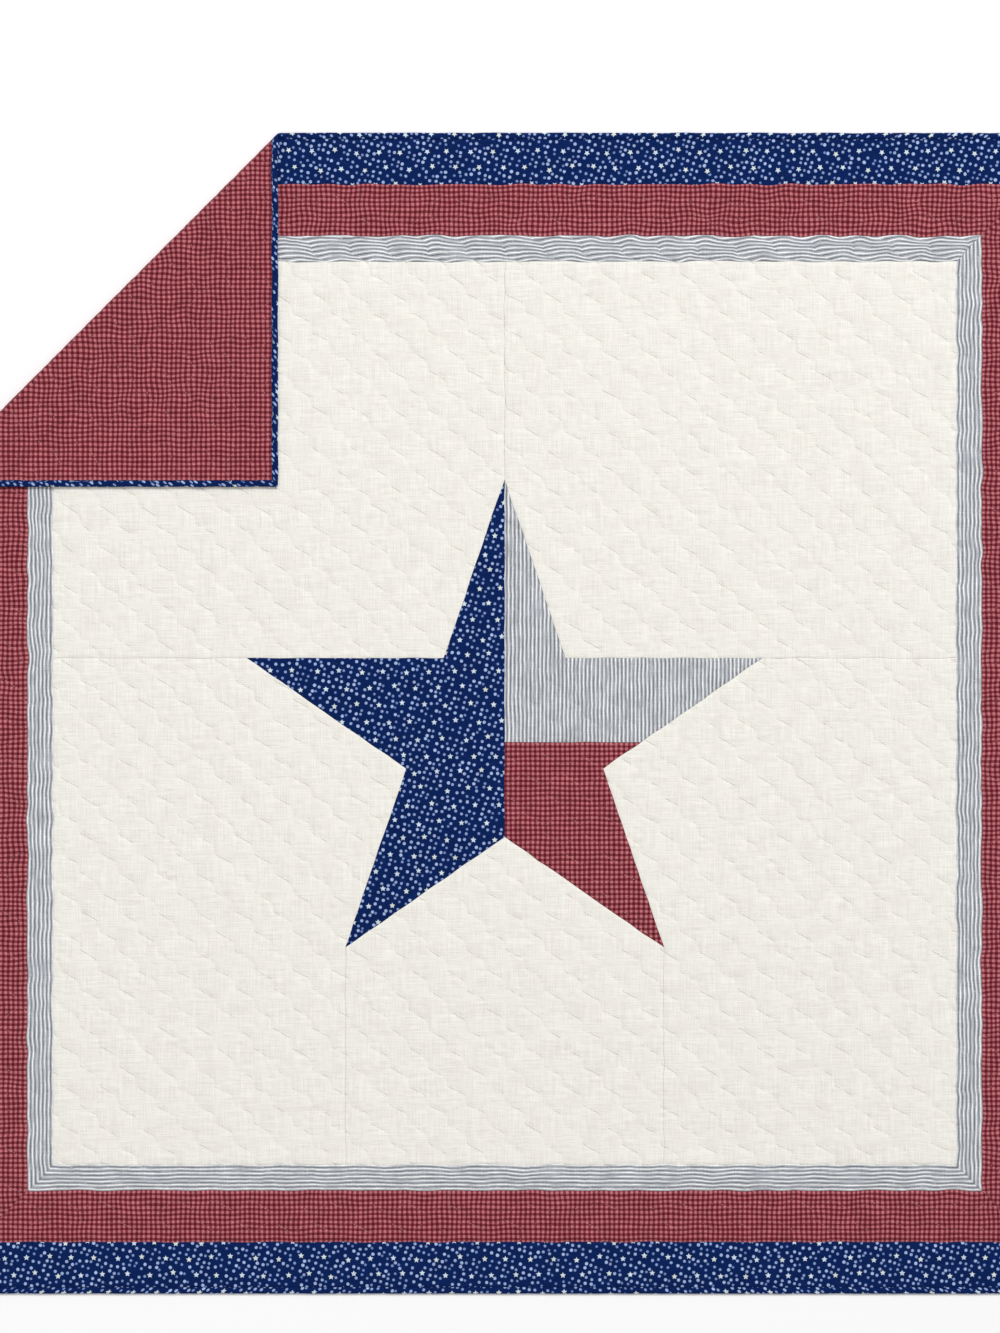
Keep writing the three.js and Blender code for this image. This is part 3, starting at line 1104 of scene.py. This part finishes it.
    def flat_piece(self, plan: PatchPlan, cells: int | None = None) -> bmesh.types.BMesh:
        """Cuts a whole piece and joins its parts.

        Args:
            plan: The piece.
            cells: Mesh squares along one side of a quilted square, if not the usual number.

        Returns:
            One flat sheet at height 0.
        """
        rims = self.rims(plan)
        whole = bmesh.new()
        for part in plan.parts:
            bm = self.lattice(part, cells or self.cells)
            self.trim(bm, part, rims)
            scrap = bpy.data.meshes.new("part")
            bm.to_mesh(scrap)
            bm.free()
            whole.from_mesh(scrap)
            bpy.data.meshes.remove(scrap)
        bmesh.ops.remove_doubles(whole, verts=whole.verts, dist=self.merge)
        self.refine(whole, rims)
        return whole

    def rims(self, plan: PatchPlan) -> set[Seam]:
        """Finds the sides of a piece that lie on a seam, not between two of its parts.

        Args:
            plan: The piece.

        Returns:
            Those sides.
        """
        edges = [side for part in plan.parts for side in sides(part)]
        known = {(self.key(p), self.key(q)) for p, q in edges}
        return {(p, q) for p, q in edges if (self.key(q), self.key(p)) not in known}

    @staticmethod
    def key(corner: Corner) -> tuple[int, int]:
        """Returns a corner's place in hundredths of a millimetre."""
        return round(corner[0] / MM * 100), round(corner[1] / MM * 100)

    def close(self, bm: bmesh.types.BMesh, fine_side: int) -> None:
        """Gives a flat sheet its second face one unit above, and thins the hidden face.

        Args:
            bm: The sheet, which becomes a closed body with faces at heights 0 and 1.
            fine_side: The height of the face that keeps its fine mesh.
        """
        made = bmesh.ops.extrude_face_region(bm, geom=bm.faces[:], use_keep_orig=True)
        raised = [g for g in made["geom"] if isinstance(g, bmesh.types.BMVert)]
        bmesh.ops.translate(bm, verts=raised, vec=(0, 0, 1))
        bmesh.ops.recalc_face_normals(bm, faces=bm.faces)
        places = np.array([v.co for v in bm.verts])
        flat = self.fold.run(places[:, :2]) < -self.roll_margin
        lies = flat & (np.round(places[:, 2]) != fine_side)
        bm.verts.index_update()
        hidden = [f for f in bm.faces if all(lies[v.index] for v in f.verts)]
        bmesh.ops.dissolve_faces(bm, faces=hidden)


@dataclass(frozen=True)
class FlatCloth:
    """The vertices of a closed flat piece, with one entry of each kind for every vertex.

    plan holds the flat places and side the heights before the cloth is raised. alpha and beta
    are the lattice steps across and along the crease, in quilted squares.
    """

    plan: np.ndarray
    side: np.ndarray
    alpha: np.ndarray
    beta: np.ndarray


@dataclass
class SewnPiece:
    """A flat closed piece on its way to its place: shared work of the top, backing and binding."""

    cutter: ClothCutter
    name: str
    fabric: Fabric
    grain: float = 0.0
    bow: float = 0.0

    def place(
        self, bm: bmesh.types.BMesh, heights: Callable[[FlatCloth], np.ndarray]
    ) -> bpy.types.Object:
        """Puckers, raises and folds a flat piece, and gives it its coordinates.

        Args:
            bm: The closed flat piece, which is freed.
            heights: Gives each vertex its height above the backing's outer face.

        Returns:
            The finished object.
        """
        mesh = bpy.data.meshes.new(self.name)
        bm.to_mesh(mesh)
        bm.free()
        places = np.empty(len(mesh.vertices) * 3, np.float32)
        mesh.vertices.foreach_get("co", places)
        places = places.reshape(-1, 3).astype(float)
        steps = [self.layer(mesh, name) for name in STEP_LAYERS]
        flat = FlatCloth(places[:, :2], places[:, 2], *steps)
        pulled = self.cutter.quilting.pulled(flat.plan)
        placed = self.cutter.fold.carry(pulled, heights(flat))
        mesh.vertices.foreach_set("co", placed.astype(np.float32).ravel())
        cloth = flat.plan @ np.array(Matrix.Rotation(-self.grain, 2)).T
        cloth[:, 1] += self.bow * np.abs(np.sin(np.pi * flat.beta))
        if "girth" in mesh.attributes:
            cloth = np.column_stack([self.layer(mesh, name) for name in WRAP_LAYERS])
        self.lay_uv(mesh, "cloth", cloth)
        self.lay_uv(mesh, "stitches", np.column_stack(steps))
        for layer in {*STEP_LAYERS, *WRAP_LAYERS} & set(mesh.attributes.keys()):
            mesh.attributes.remove(mesh.attributes[layer])
        mesh.shade_smooth()
        mesh.set_sharp_from_angle(angle=SHARP_EDGE)
        mesh.update()
        piece = bpy.data.objects.new(self.name, mesh)
        bpy.context.scene.collection.objects.link(piece)
        return piece

    @staticmethod
    def layer(mesh: bpy.types.Mesh, name: str) -> np.ndarray:
        """Reads a vertex layer.

        Args:
            mesh: The mesh.
            name: The layer's name.

        Returns:
            Its value at each vertex.
        """
        values = np.empty(len(mesh.vertices), np.float32)
        mesh.attributes[name].data.foreach_get("value", values)
        return values.astype(float)

    def lay_uv(self, mesh: bpy.types.Mesh, layer: str, values: np.ndarray) -> None:
        """Writes a pair of coordinates for each vertex into a UV layer.

        Where the binding closes on itself, its last faces run on instead of back to the start.

        Args:
            mesh: The mesh.
            layer: The name of the new layer.
            values: One row of two coordinates for each vertex.
        """
        corners = np.empty(len(mesh.loops), np.int32)
        mesh.loops.foreach_get("vertex_index", corners)
        starts = np.empty(len(mesh.polygons), np.int32)
        mesh.polygons.foreach_get("loop_start", starts)
        sizes = np.diff(np.append(starts, len(corners)))
        placed = values[corners]
        lap = self.cutter.plan.whole_edge
        farthest = np.repeat(np.maximum.reduceat(placed[:, 0], starts), sizes)
        placed[farthest - placed[:, 0] > lap / 2, 0] += lap
        uv = mesh.uv_layers.new(name=layer)
        uv.data.foreach_set("uv", placed.astype(np.float32).ravel())

    def dress(self, piece: bpy.types.Object, cloths: Cloths, node: str) -> None:
        """Gives a piece its cloth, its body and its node.

        Args:
            piece: The piece.
            cloths: The material of each fabric.
            node: The CAD node that the piece replaces.
        """
        piece.data.materials.append(cloths[self.fabric])
        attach(piece, BODY)
        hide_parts(node)
        log.info("%s: %d faces", piece.name, len(piece.data.polygons))


@dataclass
class QuiltTop:
    """The pieced face of the quilt, one closed piece of cloth for each cut patch."""

    cutter: ClothCutter
    underside: float = 1.7 * MM
    at_stitches: float = 4.1 * MM
    rise: float = 1.6 * MM
    rise_spread: float = 0.12
    weave_bow: float = 4.5 * MM
    bowed: str = "border_ticking_top"
    seam_dip: float = 1.3 * MM
    seam_width: float = 3.0 * MM

    def seam_distance(self, plan: np.ndarray, patch: PatchPlan) -> np.ndarray:
        """Measures how far flat points are from the nearest seam of their patch.

        Args:
            plan: Flat places, one row of u and v for each point.
            patch: The patch.

        Returns:
            The distance of each point, and 1 m where it is farther.
        """
        nearest = np.full(len(plan), 1.0)
        for p, q in self.cutter.rims(patch):
            start, along = np.array(p), np.array(q) - np.array(p)
            share = np.clip((plan - start) @ along / (along @ along), 0, 1)
            gap = np.linalg.norm(plan - start - share[:, None] * along, axis=1)
            nearest = np.minimum(nearest, gap)
        return nearest

    def heights(self, patch: PatchPlan, flat: FlatCloth) -> np.ndarray:
        """Raises a patch's face between the quilting lines and lowers it at the seams.

        Args:
            patch: The patch.
            flat: Its vertices.

        Returns:
            The height of each vertex.
        """
        quilting = self.cutter.quilting
        fullness = 1 + self.rise_spread * quilting.fullness.at(flat.plan)
        dip = self.seam_dip * np.exp(-self.seam_distance(flat.plan, patch) / self.seam_width)
        face = self.at_stitches + self.rise * fullness * quilting.loft(flat.alpha, flat.beta)
        face = face + quilting.creases(flat.plan) * quilting.gathers(flat.beta) - dip
        return np.where(flat.side > 0.5, face, self.underside)

    def build(self, cloths: Cloths) -> list[bpy.types.Object]:
        """Builds every patch and returns the patches' objects."""
        return [self.build_patch(patch, cloths) for patch in self.cutter.plan.top_pieces()]

    def build_patch(self, patch: PatchPlan, cloths: Cloths) -> bpy.types.Object:
        """Cuts, quilts, folds and dresses one patch.

        Args:
            patch: The patch.
            cloths: The material of each fabric.

        Returns:
            The patch's object.
        """
        bm = self.cutter.flat_piece(patch)
        self.cutter.close(bm, fine_side=1)
        # The seam draws one strip in enough for its weave to bow up between the quilting lines.
        bow = self.weave_bow if patch.name == self.bowed else 0.0
        sewn = SewnPiece(self.cutter, patch.name + "_cloth", patch.fabric, patch.grain, bow)
        piece = sewn.place(bm, partial(self.heights, patch))
        sewn.dress(piece, cloths, patch.name)
        corners = np.array([corner for part in patch.parts for corner in part])
        width, length = corners.max(0) - corners.min(0)
        area = sum(part_area(part) for part in patch.parts)
        if patch.name.startswith("border"):
            # A mitred strip has the length of its outer edge and its mean width.
            length = max(width, length)
            width = area / length
        held = "folded" if self.cutter.fold.run(corners).max() > 0 else "laid"
        return piece


@dataclass
class Backing:
    """The gingham back: flat where it lies, and turned up to show on the folded corner.

    drawn_up is how far the stitches lift it off the floor. On the flap it stands up by
    flap_rise between them, with crinkles that are flap_crinkles times as deep.
    """

    cutter: ClothCutter
    thick: float = 1.4 * MM
    thinnest: float = 0.3 * MM
    drawn_up: float = 0.9 * MM
    flap_rise: float = 1.0 * MM
    flap_crinkles: float = 2.5
    flap_starts_over: float = 20 * MM
    cells: int = 6

    def heights(self, flat: FlatCloth) -> np.ndarray:
        """Draws the backing up at the stitches, and raises it between them on the flap.

        Args:
            flat: The backing's vertices.

        Returns:
            The height of each vertex.
        """
        quilting, fold = self.cutter.quilting, self.cutter.fold
        loft = quilting.loft(flat.alpha, flat.beta)
        creases = quilting.creases(flat.plan)
        beyond = np.clip((fold.run(flat.plan) - fold.round_run) / self.flap_starts_over, 0, 1)
        outer = self.drawn_up * (1 - loft) - np.minimum(creases, 0) * (1 - beyond)
        outer = outer - beyond * (self.flap_rise * loft + self.flap_crinkles * creases)
        inner = self.thick
        return np.where(flat.side > 0.5, inner, np.minimum(outer, inner - self.thinnest))

    def build(self, cloths: Cloths) -> bpy.types.Object:
        """Args:
            cloths: The material of each fabric.

        Returns:
            The backing's object.
        """
        cutter, fold = self.cutter, self.cutter.fold
        half = cutter.plan.half - cutter.plan.binding
        square = [(-half, -half), (half, -half), (half, half), (-half, half)]
        bm = cutter.flat_piece(PatchPlan("backing", Fabric.GINGHAM, (square,)), self.cells)
        past = fold.run(np.array([v.co.xy for v in bm.verts])) > fold.round_run
        bm.verts.index_update()
        turned_up = [e for e in bm.edges if all(past[v.index] for v in e.verts)]
        bmesh.ops.subdivide_edges(bm, edges=turned_up, cuts=1, use_grid_fill=True)
        cutter.close(bm, fine_side=0)
        sewn = SewnPiece(cutter, "backing_cloth", Fabric.GINGHAM)
        piece = sewn.place(bm, self.heights)
        sewn.dress(piece, cloths, "backing")
        return piece


@dataclass
class Binding:
    """The narrow navy strip that wraps the quilt's edge all round, with mitred corners.

    profile is the section through the strip, in millimetres: how far in from the edge and how
    high. The puff softens its upper face, away from the quilt's edge.
    """

    cutter: ClothCutter
    side_cells: int = 300
    weld: float = 0.001 * MM
    puff: float = 0.35 * MM
    puff_rate: float = 1.7
    puff_above: float = 4 * MM
    puff_inside: float = 2 * MM
    profile: tuple[tuple[float, float], ...] = (
        (12.5, 0.4), (9.0, 0.05), (4.0, 0.0), (1.4, 0.3), (0.3, 1.5), (0.0, 3.0),
        (0.4, 4.5), (1.8, 5.6), (4.5, 6.1), (8.5, 6.2), (11.4, 5.6), (12.5, 4.6), (12.5, 2.4),
    )

    def heights(self, flat: FlatCloth) -> np.ndarray:
        """Puffs the strip's upper face a little.

        Args:
            flat: The strip's vertices.

        Returns:
            The height of each vertex.
        """
        inside = np.abs(flat.plan).max(axis=1) < self.cutter.plan.half - self.puff_inside
        puff = self.puff * self.cutter.quilting.pull_u.at(flat.plan * self.puff_rate)
        return flat.side + np.where((flat.side > self.puff_above) & inside, puff, 0)

    def wrapped(self, girths: np.ndarray) -> bmesh.types.BMesh:
        """Bends a grid into the strip that runs round the flat quilt.

        Args:
            girths: How far along the section each of its points lies, in metres.

        Returns:
            The closed strip, with each vertex's place along and round it in its layers.
        """
        half, ring = self.cutter.plan.half, np.array(self.profile) * MM
        around = len(ring)
        bm = bmesh.new()
        bmesh.ops.create_grid(bm, x_segments=4 * self.side_cells, y_segments=around, size=0.5)
        layers = (bm.verts.layers.float.new(name) for name in (*STEP_LAYERS, *WRAP_LAYERS))
        alpha, beta, way, girth = layers
        for vert in bm.verts:
            trip = (vert.co.x + 0.5) * 4
            place = round((vert.co.y + 0.5) * around)
            inward, height = ring[place % around]
            side = min(int(trip + 1e-6), 3)
            share = 2 * (trip - side) - 1
            corner = Vector((half - inward, share * (half - inward)))
            flat = Matrix.Rotation(side * QUARTER_TURN, 2) @ corner
            vert.co = (*flat, height)
            # Half a step from every quilting line, the strip shows no stitches of theirs.
            vert[alpha] = vert[beta] = 0.5
            vert[girth], vert[way] = girths[place], trip * 2 * half
        bmesh.ops.remove_doubles(bm, verts=bm.verts, dist=self.weld)
        return bm

    def build(self, cloths: Cloths) -> bpy.types.Object:
        """Args:
            cloths: The material of each fabric.

        Returns:
            The binding's object.
        """
        ring = np.array(self.profile) * MM
        lengths = np.linalg.norm(np.roll(ring, -1, 0) - ring, axis=1)
        bm = self.wrapped(np.concatenate(([0], np.cumsum(lengths))))
        for offset in self.cutter.roll_cuts():
            self.cutter.cut(bm, offset * ACROSS, ACROSS)
        bmesh.ops.recalc_face_normals(bm, faces=bm.faces)
        sewn = SewnPiece(self.cutter, "binding_cloth", Fabric.NAVY)
        piece = sewn.place(bm, self.heights)
        sewn.dress(piece, cloths, "binding")
        width, length = float(lengths.sum()) / 2, self.cutter.plan.whole_edge
        return piece


@dataclass(frozen=True)
class SoftBox:
    """A square lamp that faces the middle of the quilt, in metres and watts."""

    name: str
    place: tuple[float, float, float]
    size: float
    power: float

    def hang(self) -> None:
        """Adds the lamp to the scene."""
        data = bpy.data.lights.new(self.name, "AREA")
        data.size, data.energy = self.size, self.power
        lamp = bpy.data.objects.new(self.name, data)
        lamp.location = self.place
        lamp.rotation_euler = (-Vector(self.place)).to_track_quat("-Z", "Y").to_euler()
        bpy.context.scene.collection.objects.link(lamp)


@dataclass
class Studio:
    """A pale floor, a broad soft light from the top of the picture, and the camera above."""

    key: SoftBox = SoftBox("key_light", (4.0, 9.0, 11.5), 6.0, 1740.0)
    fill: SoftBox = SoftBox("fill_light", (-3.2, -2.6, 5.0), 5.0, 76.0)
    air_strength: float = 0.37
    view_height: float = 2.626
    look_at: tuple[float, float] = (-9 * MM, 92 * MM)
    lens: float = 120.0
    sensor: float = 36.0
    sight: float = 200.0
    floor_hex: str = "fcfbfc"
    floor_reach: float = 60.0
    floor_level: float = -0.3 * MM

    def build(self) -> None:
        """Builds the floor, the lights and the camera."""
        self.floor()
        self.key.hang()
        self.fill.hang()
        world = bpy.data.worlds.new("studio_air")
        world.use_nodes = True
        air = world.node_tree.nodes["Background"]
        air.inputs["Color"].default_value = (1.0, 1.0, 1.0, 1.0)
        air.inputs["Strength"].default_value = self.air_strength
        bpy.context.scene.world = world
        bpy.context.scene.view_settings.view_transform = "Standard"
        self.camera()

    def floor(self) -> None:
        """Lays a plain pale sheet of studio paper under the quilt."""
        bm = bmesh.new()
        bmesh.ops.create_grid(bm, x_segments=1, y_segments=1, size=self.floor_reach)
        bmesh.ops.translate(bm, verts=bm.verts, vec=(0, 0, self.floor_level))
        mesh = bpy.data.meshes.new("floor")
        bm.to_mesh(mesh)
        bm.free()
        floor = bpy.data.objects.new("floor", mesh)
        bpy.context.scene.collection.objects.link(floor)
        paper = bpy.data.materials.new("studio_paper")
        paper.use_nodes = True
        shader = paper.node_tree.nodes["Principled BSDF"]
        shader.inputs["Base Color"].default_value = linear(self.floor_hex)
        shader.inputs["Roughness"].default_value = 0.95
        shader.inputs["Specular IOR Level"].default_value = 0.1
        mesh.materials.append(paper)

    def camera(self) -> None:
        """Hangs the camera straight above, with the quilt's sides past the frame."""
        data = bpy.data.cameras.new("camera")
        data.lens, data.sensor_width = self.lens, self.sensor
        data.clip_end = self.sight
        camera = bpy.data.objects.new("camera", data)
        height = self.view_height * self.lens / self.sensor
        camera.location = (*self.look_at, height)
        bpy.context.scene.collection.objects.link(camera)
        bpy.context.scene.camera = camera


def main() -> None:
    """Builds the quilt and its studio."""
    logging.basicConfig(level=logging.INFO, format="%(name)s: %(message)s")
    plan, quilting = QuiltPlan(), Quilting()
    fold = Fold(start=plan.crease - Fold.radius - Fold.middle)
    cutter = ClothCutter(plan, quilting, fold)
    cottons = (CreamMuslin(), NavyStarPrint(), TickingStripe(), RedGingham())
    cloths = {cotton.slot: cotton.material(quilting.square) for cotton in cottons}
    Studio().build()
    QuiltTop(cutter).build(cloths)
    Backing(cutter).build(cloths)
    Binding(cutter).build(cloths)


if __name__ == "__main__":
    main()
